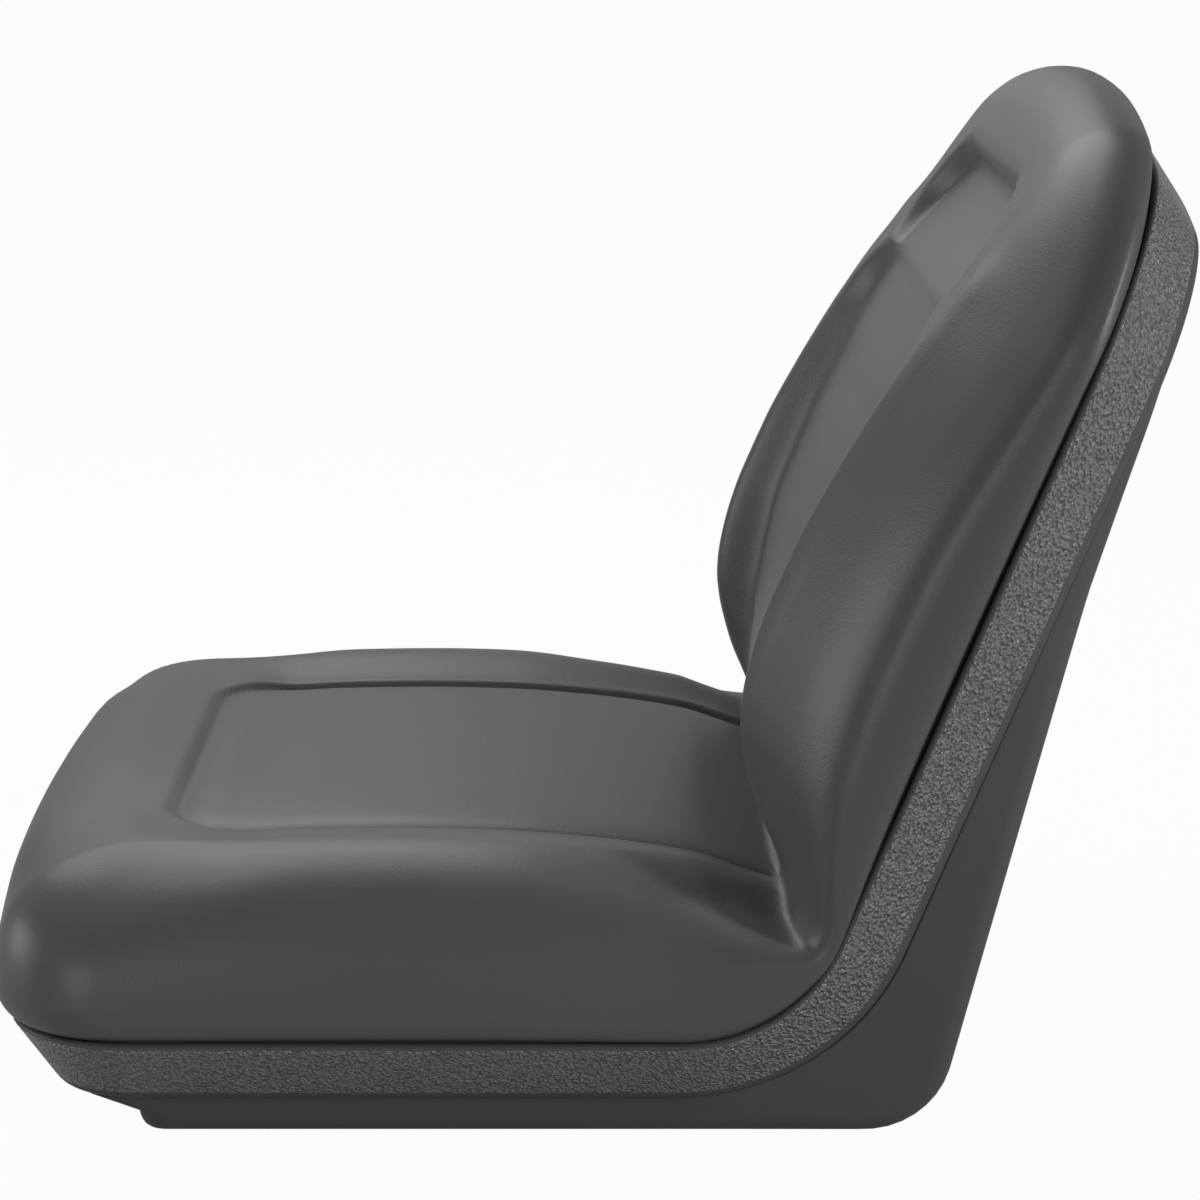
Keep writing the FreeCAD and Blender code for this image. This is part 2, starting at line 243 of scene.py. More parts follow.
COLUMNS = 321
COLUMN_CROWD = 0.13     # how much closer the columns are at the sides
FRONT_ROWS = 44
FRONT_CROWD = 1.25      # power that brings the front rows closer at the edge
SEAT_STEP = 4.0
BEND_ROWS = 40
BACK_FIRST = 2.0
BACK_STEP = 3.2
TOP_ROWS = 64
TOP_CROWD = 0.85        # power that brings the top rows closer at the edge

# Cushion: lines seen from the side. Top of the seat's bolsters as (y, z).
SEAT_LINE = curve((
    (-250, 125.5), (-200, 126.2), (-176, 126.8), (-124, 127.8), (-88, 129.5), (-43, 130.1), (3, 129.0),
    (48, 125.3), (75, 121.7), (94, 118.1), (112, 112.0), (125, 107.5), (150, 99.0), (220, 88.0)))
# Front of the back's wings, in the bend as (part of the bend, h), above it as (t, h).
WING_FOOT_LINE = ((0.5, -60.0), (0.70, -6.0), (0.765, 7.0), (0.81, 14.5), (0.88, 21.0))
WING_LINE = (
    (52.6, 26.6), (59.4, 32.0), (66, 38.0), (75, 46.5), (86, 55.5), (98, 64.0), (111, 70.8), (128, 75.8),
    (149, 79.0), (166, 80.0), (198, 79.4), (234, 76.0), (268, 71.0), (299, 65.0), (328, 57.5),
    (360, 50.5), (385, 46.5), (440, 42.0))
BACK_LINE = curve([(run_at_part(p), h) for p, h in WING_FOOT_LINE] + [(run_at_t(t), h) for t, h in WING_LINE])
# Depth of the back panel under the wings, as (t, depth).
BACK_PANEL_LINE = (
    (54, 3), (67, 7), (86, 15), (107, 22), (131, 24), (151, 23), (173, 21), (203, 20), (228, 18), (248, 17),
    (270, 14.5), (291, 13), (318, 11))
BACK_DROP = curve([(run_at_t(t), depth) for t, depth in BACK_PANEL_LINE])


def section(rows):
    """Inset and part of the height, each as a curve over the distance in."""
    return curve([(d, inset) for d, inset, part in rows]), curve([(d, part) for d, inset, part in rows])


# Cushion: sections of its rolled edge, as (distance in from the outline, inset
# from the foot, part of the height). All but the head's start alike, tucked in
# behind the lip.
TUCK = ((0, 0, 0), (1.45, -0.2, 0.034), (2.5, -0.8, 0.057))
SEAT_IN, SEAT_PART = section(TUCK + (
    (3.76, -3, 0.066), (5.6, -5.3, 0.092), (8.1, -6.7, 0.16), (11, -6.9, 0.246), (14.8, -6.3, 0.341),
    (19.2, -4.8, 0.449), (23.7, -2.5, 0.557), (28.1, 1, 0.659), (32.7, 6, 0.754), (37.2, 12.5, 0.836),
    (41.9, 20.5, 0.902), (46.6, 29.5, 0.952), (51.4, 39, 0.986), (56.5, 49.5, 1), (66, 59, 1), (76, 69, 1)))
NOSE_IN, NOSE_PART = section(TUCK + (
    (3.76, -3.5, 0.066), (5.6, -7, 0.092), (8.1, -9.8, 0.16), (11, -11, 0.25), (14.8, -11.4, 0.36),
    (19.2, -11.2, 0.49), (23.7, -10.2, 0.62), (28.1, -8.4, 0.745), (32.7, -5.2, 0.84), (37.2, -0.8, 0.913),
    (41.9, 5.2, 0.962), (46.6, 13, 0.985), (51.4, 24, 0.996), (56.5, 36, 1), (66, 52, 1), (76, 65, 1)))
WING_IN, WING_PART = section(TUCK + (
    (3.76, -3, 0.066), (5.6, -5.3, 0.092), (8.1, -6.7, 0.15), (11.5, -6.9, 0.22), (16, -6.3, 0.305),
    (21, -4.5, 0.388), (26.5, 0, 0.477), (32.5, 6.5, 0.556), (39, 14.5, 0.630), (45.5, 23.5, 0.702),
    (52, 33.5, 0.771), (59, 44.5, 0.844), (65.5, 54.5, 0.910), (71, 62.5, 0.964), (76, 69, 1)))
HEAD_IN, HEAD_PART = section((
    (0, 0, 0), (1.8, 0.2, 0.07), (3.6, -1.5, 0.12), (7, -9, 0.145), (11, -15, 0.185), (16, -18.8, 0.27),
    (23, -20, 0.42), (31, -17.5, 0.60), (40, -8, 0.78), (50, 8, 0.92), (62, 32, 0.985), (76, 56, 1)))
ROLL_WIDE = 76.0            # how far in the sections reach
NOSE_SHARE = 0.6            # how much of the nose's section the front takes
SWELL_IN = 12.0             # how far in the outline's extra swell is taken up
WING_ZONE = (run_at_part(0.55), run_at_part(0.55) + 75.0)   # runs where the sides turn into wings
WING_SLANT = 0.22           # how much more evenly the upper wings' sides are slanted
WING_SLANT_ZONE = (run_at_t(220.0), run_at_t(330.0))
WING_SLANT_IN = (5.0, 16.0)
CORNER_LOST = 6.5           # how far the top's edge is cut back at the front corners
CORNER_WIDE = 105.0
CORNER_IN = 50.0
CORNER_EVEN = 12            # times the corners are evened out
CORNER_EVEN_SHARE = 0.5
CORNER_EVEN_FULL = 4.0      # cut back past which that share is full
CORNER_EVEN_FROM = (28.0, 40.0)
CORNER_EVEN_TO = (58.0, 70.0)

# Cushion: seat panel. Pairs are for the panel's sides and for its front.

SEAT_PANEL_HALF = 143.0
SEAT_PANEL_FRONT = -155.0
SEAT_PANEL_CORNER = 38.0
SEAT_FRONT_ZONE = (SEAT_PANEL_FRONT + 6.0, SEAT_PANEL_FRONT + 40.0)
SLOPE_DEEP = (6.5, 3.0)     # fall of the bolsters to the groove
SLOPE_ZONE = (1.0, 43.0)
GROOVE_DEEP = (5.2, 4.6)
GROOVE_WALL = (5.5, 10.0)
CROWN_HIGH = (6.0, 4.6)     # rise of the panel inside the groove
CROWN_SOFT = (6.5, 8.0)
CROWN_IN = 2.0
REAR_DEEP = 8.0             # fall of the bolsters to the fold
REAR_ZONE_Y = (-10.0, 100.0)
REAR_ZONE_X = (172.0, 212.0)

# Cushion: back panel and headrest recess

BACK_PANEL_HALF = 153.0
BACK_PANEL_TOP = 318.0
BACK_PANEL_CORNER = 45.0
BACK_PANEL_CROWN = 4.0
BACK_WALL = (24.0, 18.0)    # width of the panel's walls, below and above
BACK_WALL_ZONE = (250.0, 310.0)
HEAD_HALF = 136.0
HEAD_LOW = 298.0
HEAD_TOP = 378.0
HEAD_CORNER = 41.0
HEAD_DEEP = 5.0             # depth of the recess at its foot
HEAD_FALL = 9.0             # how much deeper it is at its top
HEAD_WALL = 14.0
HEAD_SOFT = 3.0
SEAM_SOFT = 8.0             # rounding where the seat meets the back
SEAM_FILLED = 46.0          # the same, low on the rolled edge
SEAM_ZONE = (0.55, 0.92)    # parts of the height between those two
LOWEST_H = -40.0
HIGHEST_H = 110.0

# Cushion: fold at each side where the seat meets the wing, seen from the side
# in (y, z): a ridge, a pocket behind it and a dip before it.

FOLD_AT = (117.4, 101.0)
FOLD_ALONG = (0.965, -0.262)
FOLD_RIDGE = curve(((-4, 0.5), (0, 0.0), (5.6, -2.0), (11, -1.6), (16.5, 0.2), (21, 4.0), (26, 9.0)))
FOLD_WIDE = curve(((-2, 20.0), (0, 19.0), (14, 12.5), (21, 4.0), (27, 2.0)))
POCKET_DEEP = 4.5
POCKET_WALL = 3.0
POCKET_FLOOR = 2.0
POCKET_FOOT = (-1.1, 1.1)
POCKET_HEAD = (12.0, 26.0)
RIDGE_HIGH = 1.2
RIDGE_BEFORE = 1.5
RIDGE_WIDE = 3.0
RIDGE_FOOT = (-2.0, 2.0)
RIDGE_HEAD = (10.0, 22.0)
DIP_AT = (106.0, 106.0)
DIP_WIDE = 15.0
DIP_DEEP = 2.5
FOLD_ZONE_X = (165.0, 205.0)
FOLD_PRESS_X = 0.85
FOLD_PRESS_Z = 0.35
FOLD_EVEN = 6               # times the folds are evened out
FOLD_EVEN_SHARE = 0.5
FOLD_EVEN_AT = (124.0, 110.0)
FOLD_EVEN_ZONE = (12.0, 26.0)
FOLD_EVEN_X = (120.0, 150.0)


def panel_edge(x, y, half, front, corner):
    """Distance outside (or inside, below 0) a rounded panel open to the rear."""
    qx = np.abs(x) - half + corner
    qy = front - y + corner
    outside = np.hypot(np.maximum(qx, 0.0), np.maximum(qy, 0.0))
    return outside + np.minimum(np.maximum(qx, qy), 0.0) - corner


def closed_edge(x, t, half, low, top, corner):
    """Distance outside a rounded panel closed at both ends."""
    middle = (low + top) / 2.0
    return panel_edge(x, -np.abs(t - middle), half, middle - top, corner)


def seat_fall(x, y):
    """How far the seat's top lies under the line of its bolsters."""
    edge = panel_edge(x, np.minimum(y, BEND_Y), SEAT_PANEL_HALF, SEAT_PANEL_FRONT, SEAT_PANEL_CORNER)
    front = 1.0 - eased(y, *SEAT_FRONT_ZONE)
    slope = between(*SLOPE_DEEP, front) * (1.0 - eased(edge, *SLOPE_ZONE))
    groove = between(*GROOVE_DEEP, front) * ease(0.5 - edge / between(*GROOVE_WALL, front))
    inside = np.minimum(edge + CROWN_IN, 0.0)
    crown = between(*CROWN_HIGH, front) * (1.0 - np.exp(inside / between(*CROWN_SOFT, front)))
    rear = REAR_DEEP * eased(y, *REAR_ZONE_Y) * eased(np.abs(x), *REAR_ZONE_X)
    return slope + groove - crown + rear


def seat_height(run, fall):
    """Height over the sheet at which the seat's line, lowered by fall, is met."""
    low = np.full_like(run, LOWEST_H)
    high = np.full_like(run, HIGHEST_H)
    for _ in range(SEARCH_STEPS):
        h = (low + high) / 2.0
        at = cushion_point(0.0, run, h)
        over = at[..., 2] > SEAT_LINE(at[..., 1]) - fall
        high = np.where(over, h, high)
        low = np.where(over, low, h)
    return (low + high) / 2.0


def back_fall(x, run):
    """How far the back's front lies under the line of its wings."""
    t = run - BEND_RUN + BACK_START
    edge = panel_edge(x, -t, BACK_PANEL_HALF, -BACK_PANEL_TOP, BACK_PANEL_CORNER)
    crown = BACK_PANEL_CROWN * (1.0 - np.minimum(np.abs(x) / BACK_PANEL_HALF, 1.0) ** 2)
    wall = between(*BACK_WALL, eased(t, *BACK_WALL_ZONE))
    panel = (BACK_DROP(run) - crown) * ease(0.5 - edge / wall)
    edge = closed_edge(x, t, HEAD_HALF, HEAD_LOW, HEAD_TOP, HEAD_CORNER)
    recess = (HEAD_DEEP + HEAD_FALL * eased(t, HEAD_LOW, HEAD_TOP)) * ease(0.5 - edge / HEAD_WALL)
    return soft_max(panel, recess, HEAD_SOFT)


def cushion_height(x, run):
    """Height of the cushion's top over the sheet, as it is and with its seam filled."""
    seat = seat_height(run, seat_fall(x, run + BEND_Y))
    back = BACK_LINE(run) - back_fall(x, run)
    return soft_max(seat, back, SEAM_SOFT), soft_max(seat, back, SEAM_FILLED)


def cushion_grid():
    """Skin laid flat on the sheet, rows along it and columns across.

    Each point has its x and run, its distance in from the outline, the outward
    direction there (in x and along the run), 1 on the top end, the swell of the
    outline past the foot, and how far the front corner cuts back the top's edge.
    """
    flat = np.linspace(-1.0, 1.0, COLUMNS)
    across = flat + COLUMN_CROWD * np.sin(math.pi * flat)
    foot_half = RIM_HALF - CUSHION_IN
    half = foot_half + SWELL
    front_far = SEAT_END_Y - FRONT_Y - CUSHION_IN
    front = End(half, front_far + NOSE, NOSE_CORNER, NOSE_BOW)
    front_foot = End(foot_half, front_far, FRONT_CORNER - CUSHION_IN, FRONT_BOW - CUSHION_IN)
    top_far = BACK_T - CUSHION_IN - BACK_END_T
    top = End(half, top_far + HEAD_SWELL, HEAD_ROUND, HEAD_BOW)
    top_foot = End(foot_half, top_far, TOP_CORNER - CUSHION_IN, TOP_BOW - CUSHION_IN)
    rows = []

    def add(x, run, *others):
        reach = SEAT_END_Y - BEND_Y - run
        uneven = half - np.abs(x) - front.bow + np.hypot(x, reach - front.bow_at)
        lost = CORNER_LOST * np.maximum(1.0 - (uneven / CORNER_WIDE) ** 2, 0.0) ** 3
        rows.append([np.broadcast_to(value, COLUMNS) for value in (x, run, *others, lost)])

    def on_end(end, foot, part):
        """Points of one row on an end, with the swell past the foot beside them."""
        x, y = end.fill(across, np.full(COLUMNS, part), 0.0)
        d, nx, ny = end.depth(x, y)
        return x, y, d, nx, ny, -foot.depth(x + nx * d, y + ny * d)[0]
    for part in 1.0 - np.linspace(0.0, 1.0, FRONT_ROWS) ** FRONT_CROWD:
        x, y, d, nx, ny, swell = on_end(front, front_foot, part)
        add(x, run_at_y(SEAT_END_Y - y), d, nx, -ny, 0.0, swell)
    seat_runs = run_at_y(np.arange(SEAT_END_Y + SEAT_STEP, BEND_Y, SEAT_STEP))
    bend_runs = np.linspace(0.0, BEND_RUN, BEND_ROWS)
    back_runs = BEND_RUN + np.arange(BACK_FIRST, BACK_END_T - BACK_START, BACK_STEP)
    for run in np.concatenate([seat_runs, bend_runs, back_runs]):
        x = across * half
        add(x, run, half - np.abs(x), side_of(x), 0.0, 0.0, SWELL)
    for part in np.linspace(0.0, 1.0, TOP_ROWS)[1:] ** TOP_CROWD:
        x, y, d, nx, ny, swell = on_end(top, top_foot, part)
        add(x, run_at_t(BACK_END_T + y), d, nx, ny, 1.0, swell)
    return np.moveaxis(np.array(rows), 1, 0)


def cushion_points():
    """Skin rolled at its edges, raised to its height, folded and evened out."""
    x, run, d, nx, ny, end, swell, lost = cushion_grid()
    d = np.maximum(d, 0.0)
    rise = np.maximum(d - lost * ease(d / CORNER_IN), 0.0)
    head = end * np.clip(ny, 0.0, 1.0) ** 2
    nose = NOSE_SHARE * np.clip(-ny, 0.0, 1.0) ** 2
    wing = eased(run, *WING_ZONE)
    slant = 1.0 + WING_SLANT * eased(run, *WING_SLANT_ZONE) * eased(d, *WING_SLANT_IN)
    side_in = between(SEAT_IN(d), WING_IN(d), wing)
    side_part = between(SEAT_PART(rise), WING_PART(rise) ** slant, wing)
    inset = between(between(side_in, NOSE_IN(d), nose), HEAD_IN(d), head)
    nominal = between(between(SWELL, NOSE, nose), HEAD_SWELL, head)
    inset = inset - (swell - nominal) * ease(d / SWELL_IN)
    part = between(between(side_part, NOSE_PART(rise), nose), HEAD_PART(rise), head)
    pull = np.where(d < ROLL_WIDE, inset + swell - d, 0.0)
    x = x - pull * nx
    run = run - pull * ny
    top, filled = cushion_height(x, run)
    top = between(filled, top, eased(part, *SEAM_ZONE))
    points = pinched(cushion_point(x, run, FOOT_H + part * (top - FOOT_H)))
    corner = ease(lost / CORNER_EVEN_FULL) * eased(d, *CORNER_EVEN_FROM) * (1.0 - eased(d, *CORNER_EVEN_TO))
    for _ in range(CORNER_EVEN):
        points = evened(points, CORNER_EVEN_SHARE * corner)
    for _ in range(FOLD_EVEN):
        points = evened(points, fold_share(points))
    return points


def pinched(points):
    """Skin with the two side folds pressed in."""
    x, y, z = points[..., 0], points[..., 1], points[..., 2]
    dy, dz = y - FOLD_AT[0], z - FOLD_AT[1]
    along = dy * FOLD_ALONG[0] + dz * FOLD_ALONG[1]
    up = dz * FOLD_ALONG[0] - dy * FOLD_ALONG[1]
    behind = along - FOLD_RIDGE(up)
    pocket = ease(behind / POCKET_WALL) * (1.0 - ease((behind - POCKET_FLOOR) / FOLD_WIDE(up)))
    pocket = pocket * eased(up, *POCKET_FOOT) * (1.0 - eased(up, *POCKET_HEAD))
    ridge = np.exp(-((behind + RIDGE_BEFORE) / RIDGE_WIDE) ** 2)
    ridge = ridge * eased(up, *RIDGE_FOOT) * (1.0 - eased(up, *RIDGE_HEAD))
    dip = np.exp(-((y - DIP_AT[0]) ** 2 + (z - DIP_AT[1]) ** 2) / DIP_WIDE ** 2)
    press = POCKET_DEEP * pocket + DIP_DEEP * dip - RIDGE_HIGH * ridge
    press = press * eased(np.abs(x), *FOLD_ZONE_X)
    moved = points.copy()
    moved[..., 0] = x - side_of(x) * press * FOLD_PRESS_X
    moved[..., 2] = z - press * FOLD_PRESS_Z
    return moved


def fold_share(points):
    """How far the skin is evened out round the side folds."""
    away = np.hypot(points[..., 1] - FOLD_EVEN_AT[0], points[..., 2] - FOLD_EVEN_AT[1])
    near = 1.0 - eased(away, *FOLD_EVEN_ZONE)
    return FOLD_EVEN_SHARE * near * eased(np.abs(points[..., 0]), *FOLD_EVEN_X)


def evened(points, share):
    """Skin with each point moved by its share towards the middle of its neighbours."""
    even = points.copy()
    along = points[:-2, 1:-1] + points[2:, 1:-1]
    across = points[1:-1, :-2] + points[1:-1, 2:]
    even[1:-1, 1:-1] = (along + across) / 4.0
    return between(points, even, share[..., None])


def cushion_mesh():
    """Skin of the cushion, closed underneath from side to side."""
    points = cushion_points()
    rows, columns = points.shape[:2]
    at = np.arange(rows * columns).reshape(rows, columns)
    faces = []
    for i in range(rows - 1):
        for j in range(columns - 1):
            faces.append((at[i, j], at[i, j + 1], at[i + 1, j + 1], at[i + 1, j]))
    first = FRONT_ROWS - 1
    last = rows - TOP_ROWS
    faces.append((*at[1:first + 1, -1][::-1], *at[0, ::-1], *at[1:first + 1, 0]))
    for i in range(first, last):
        faces.append((at[i, 0], at[i + 1, 0], at[i + 1, -1], at[i, -1]))
    faces.append((*at[last:-1, 0], *at[-1, :], *at[last:-1, -1][::-1]))
    mesh = bpy.data.meshes.new("cushion_skin")
    mesh.from_pydata((points.reshape(-1, 3) * MM).tolist(), [], [[int(k) for k in face] for face in faces])
    mesh.validate()
    mesh.update()
    mesh.polygons.foreach_set("use_smooth", [True] * len(mesh.polygons))
    return mesh


# Pan: lip and band, as (inset from the rim, height over the sheet)

LIP_SECTION = (
    (7.4, -5.0), (6.5, -4.9), (6.1, -4.4), (6.0, -3.0), (5.9, -1.0), (5.5, -0.3), (4.8, 0.0), (3.3, 0.1),
    (2.0, 0.0), (1.0, -0.3), (0.3, -0.9), (0.0, -1.9))
BAND_END = (17.6, -27.9)
BAND_ROWS = 11
BAND_FOOT = ((18.6, -29.3), (19.8, -30.6), (21.2, -31.6), (22.8, -32.2), (24.2, -32.6))
BAND_FIRST = len(LIP_SECTION) - 1

# Pan: hull

HEEL_Y = 199.4              # where the back of the hull would meet the base
HEEL_R = 40.0
REAR_LEAN = math.radians(14.3)
REAR_BREAK = 250.0          # height where the hull's back leans over more
REAR_TOP_LEAN = math.radians(17.4)
HULL_HALF = 220.0
HULL_EDGE = 9.0             # rounding along the hull's lower edge
HULL_EDGE_SHARE = 0.6       # most of the wall's height that rounding takes
HULL_FOOT = -BAND_FOOT[-1][1]
HULL_LEAST = 1.6            # least depth of the hull under the band
HULL_DEEPEST = 220.0
HULL_DRAFT = 1.5
HULL_FRONT = 189.0          # reach of the hull's front at the band
BASE_FRONT = 165.0          # reach of the base's front
BASE_FRONT_SHARE = 0.6      # share of the edge's inset that the front takes
HULL_FRONT_CORNER = 16.0
HULL_FRONT_BOW = 8000.0
HULL_TOP = 398.0
HULL_TOP_DRAFT = 6.0
HULL_TOP_CORNER = 75.0
HULL_TOP_BOW = 1000.0
HULL_DOWN = (0.0, 0.04, 0.10, 0.2, 0.4, 0.6, 0.8, 0.92, 1.0)    # parts of the wall's height
HULL_TURN = (0.2, 0.4, 0.6, 0.8, 1.0)                           # parts of the edge's quarter turn

# Pan: stations round each ring

FRONT_STEPS = 26
CORNER_STEPS = 18
TOP_STEPS = 26
SEAT_STOP_Y = 20.0
BACK_STOP_T = 110.0
SIDE_STEPS = (24, 8, 30, 8, 26)

# Pan: holes in the base

INSERT_X = 146.05
INSERT_ROWS = (-142.875, 60.325, 142.875)
SOCKET_FLAT = 13.4          # across the flats, with room for the insert
SOCKET_DEEP = 18.2
DRAIN_Y = -41.0
DRAIN_R = 5.0
DRAIN_SIDES = 24
BASE_LEVEL = 0.05           # points lower than this are on the flat base
INSIDE_TRIANGLES = 1        # kind of result asked of delaunay_2d_cdt


def hull_depth(run):
    """Depth of the hull's outside under the sheet, square to it."""
    heel = HEEL_Y - HEEL_R * math.tan((math.pi / 2.0 - REAR_LEAN) / 2.0)
    knee = HEEL_Y + REAR_BREAK * math.tan(REAR_LEAN)
    near = np.zeros_like(run)
    far = np.full_like(run, HULL_DEEPEST)
    for _ in range(SEARCH_STEPS):
        k = (near + far) / 2.0
        at = sheet_point(0.0, run, -k)
        y, z = at[..., 1], at[..., 2]
        lower = HEEL_Y + z * math.tan(REAR_LEAN)
        upper = knee + (z - REAR_BREAK) * math.tan(REAR_TOP_LEAN)
        rear = np.where(z < REAR_BREAK, lower, upper)
        turn = np.arctan2(z - HEEL_R, y - heel)
        on_heel = (turn > -math.pi / 2.0) & (turn < -REAR_LEAN)
        past_heel = on_heel & (np.hypot(y - heel, z - HEEL_R) > HEEL_R)
        inside = (z > 0.0) & (y < rear) & ~past_heel
        near = np.where(inside, k, near)
        far = np.where(inside, far, k)
    return np.maximum((near + far) / 2.0, HULL_FOOT + HULL_LEAST)


def half_loop(front, top):
    """Stations along the right half of an outline: x and run, front to top."""
    front_x, front_reach = front.right_half(FRONT_STEPS, CORNER_STEPS)
    top_x, top_reach = top.right_half(TOP_STEPS, CORNER_STEPS)
    first = run_at_y(-front.cy)
    last = run_at_t(top.cy)
    stops = (first, run_at_y(SEAT_STOP_Y), 0.0, BEND_RUN, run_at_t(BACK_STOP_T), last)
    side = np.concatenate([np.linspace(a, b, n)[1:] for a, b, n in zip(stops, stops[1:], SIDE_STEPS)])
    side_x = between(front.half, top.half, eased(side, first, last))
    x = np.concatenate([front_x, side_x, top_x[-2::-1]])
    run = np.concatenate([run_at_y(-front_reach), side, run_at_t(top_reach[-2::-1])])
    return x, run


def rim_ring(inset, h):
    """Half ring beside the rim, inset from it, at a height over the sheet."""
    front = End(RIM_HALF - inset, -FRONT_Y - inset, FRONT_CORNER - inset, FRONT_BOW - inset)
    top = End(RIM_HALF - inset, BACK_T - inset, TOP_CORNER - inset, TOP_BOW - inset)
    x, run = half_loop(front, top)
    return x, run, np.full_like(x, h)


def hull_ring(down, turn):
    """Half ring on the hull's wall (down 0 to 1), then round its lower edge (turn)."""
    inset = HULL_EDGE * (1.0 - math.cos(turn))
    half = HULL_HALF - HULL_DRAFT * down - inset
    front_far = between(HULL_FRONT, BASE_FRONT, down) - inset * BASE_FRONT_SHARE
    top_far = HULL_TOP - HULL_TOP_DRAFT * down - inset
    front = End(half, front_far, HULL_FRONT_CORNER - inset, HULL_FRONT_BOW)
    top = End(half, top_far, HULL_TOP_CORNER - inset, HULL_TOP_BOW)
    x, run = half_loop(front, top)
    deep = hull_depth(run)
    edge = np.minimum(HULL_EDGE, (deep - HULL_FOOT) * HULL_EDGE_SHARE)
    wall = between(HULL_FOOT, deep - edge, down)
    return x, run, -(wall + edge * math.sin(turn))


def whole_ring(half_ring):
    """Both halves of a ring, right half first, as a closed loop of points."""
    right = sheet_point(*half_ring)
    left = right[-2:0:-1] * np.array((-1.0, 1.0, 1.0))
    return np.concatenate([right, left])


def pan_rings():
    """Points of the pan's skin, ring by ring from inside the lip to the base."""
    rings = [rim_ring(inset, h) for inset, h in LIP_SECTION]
    lip_h = LIP_SECTION[-1][1]
    for k in range(1, BAND_ROWS + 1):
        f = k / BAND_ROWS
        rings.append(rim_ring(BAND_END[0] * f, between(lip_h, BAND_END[1], f)))
    rings += [rim_ring(inset, h) for inset, h in BAND_FOOT]
    rings += [hull_ring(down, 0.0) for down in HULL_DOWN]
    rings += [hull_ring(1.0, turn * math.pi / 2.0) for turn in HULL_TURN]
    return np.array([whole_ring(ring) for ring in rings])


def wall_faces(deep, around):
    """Faces between one ring and the next."""
    faces = []
    for k in range(deep - 1):
        for i in range(around):
            j = (i + 1) % around
            faces.append((k * around + i, k * around + j, (k + 1) * around + j, (k + 1) * around + i))
    return faces


def end_face(ring, around, start, end):
    """One face over the stations start to end of a ring and their mirrored ones."""
    right = [ring + i for i in range(start, end + 1)]
    left = [ring + around - i for i in range(end, start - 1, -1) if 0 < i < around // 2]
    return right + left


def strip_faces(ring, around, start, end):
    """Faces from side to side of a ring, between the stations start and end."""
    return [(ring + i, ring + i + 1, ring + around - i - 1, ring + around - i) for i in range(start, end)]


def base_holes():
    """Holes in the base as (x, y, radius to the corners, sides): sockets, then the drain."""
    corner = SOCKET_FLAT / math.sqrt(3.0)
    sockets = [(side * INSERT_X, y, corner, 6) for y in INSERT_ROWS for side in (-1.0, 1.0)]
    return sockets + [(0.0, DRAIN_Y, DRAIN_R, DRAIN_SIDES)]


def base_faces(verts, rim):
    """Faces of the flat base inside its rim and of its holes, whose points join verts."""
    holes = base_holes()
    loops = [list(rim)]
    for x, y, r, sides in holes:
        turns = [2.0 * math.pi * k / sides for k in range(sides)]
        loops.append(list(range(len(verts), len(verts) + sides)))
        verts += [(x + r * math.cos(a), y + r * math.sin(a), 0.0) for a in turns]
    flat = [i for loop in loops for i in loop]
    place = {i: k for k, i in enumerate(flat)}
    edges = [(place[a], place[b]) for loop in loops for a, b in zip(loop, loop[1:] + loop[:1])]
    plan = [Vector(verts[i][:2]) for i in flat]
    made = delaunay_2d_cdt(plan, edges, [], INSIDE_TRIANGLES, TINY)
    corners, triangles, sources = made[0], made[2], made[3]

    def in_hole(at):
        return any(math.hypot(at.x - x, at.y - y) < r * math.cos(math.pi / n) for x, y, r, n in holes)
    faces = []
    for triangle in triangles:
        if not in_hole(sum((corners[i] for i in triangle), Vector((0.0, 0.0))) / 3.0):
            faces.append([flat[sources[i][0]] for i in triangle])
    for low in loops[1:]:
        high = list(range(len(verts), len(verts) + len(low)))
        verts += [(verts[i][0], verts[i][1], SOCKET_DEEP) for i in low]
        faces += zip(low, low[1:] + low[:1], high[1:] + high[:1], high)
        faces.append(high)
    return faces


def pan_mesh():
    """Skin of the pan: walls, the floor under the cushion, the rear and the base."""
    points = pan_rings()
    deep, around = points.shape[:2]
    middle = around // 2
    seat_end = FRONT_STEPS + CORNER_STEPS - 2
    back_end = middle - CORNER_STEPS - TOP_STEPS + 2
    lowest = (deep - 1) * around
    base_end = max(i for i in range(middle) if points[-1, i, 2] < BASE_LEVEL)
    verts = points.reshape(-1, 3).tolist()
    faces = wall_faces(deep, around)
    faces.append(end_face(0, around, 0, seat_end))
    faces += strip_faces(0, around, seat_end, back_end)
    faces.append(end_face(0, around, back_end, middle))
    faces += strip_faces(lowest, around, base_end, back_end)
    faces.append(end_face(lowest, around, back_end, middle))
    faces += base_faces(verts, end_face(lowest, around, 0, base_end))
    mesh = bpy.data.meshes.new("pan_shell")
    mesh.from_pydata([[c * MM for c in v] for v in verts], [], faces)
    shape = bmesh.new()
    shape.from_mesh(mesh)
    bmesh.ops.recalc_face_normals(shape, faces=shape.faces)
    for face in shape.faces:
        face.smooth = len(face.verts) == 4
        if BAND_FIRST <= face.index // around < BAND_FIRST + BAND_ROWS:
            face.material_index = 1
    shape.to_mesh(mesh)
    shape.free()
    return mesh


# Finishes

CELL_FALL = -1.5            # turns a cell's distance into the height of its top
CLOUD_DETAIL = 4.0
# Sockets of the Mix node that share their names.
MIX_FACTOR = 0
MIX_FLOATS = (2, 3)
MIX_COLOURS = (6, 7)
MIX_COLOUR_OUT = 2


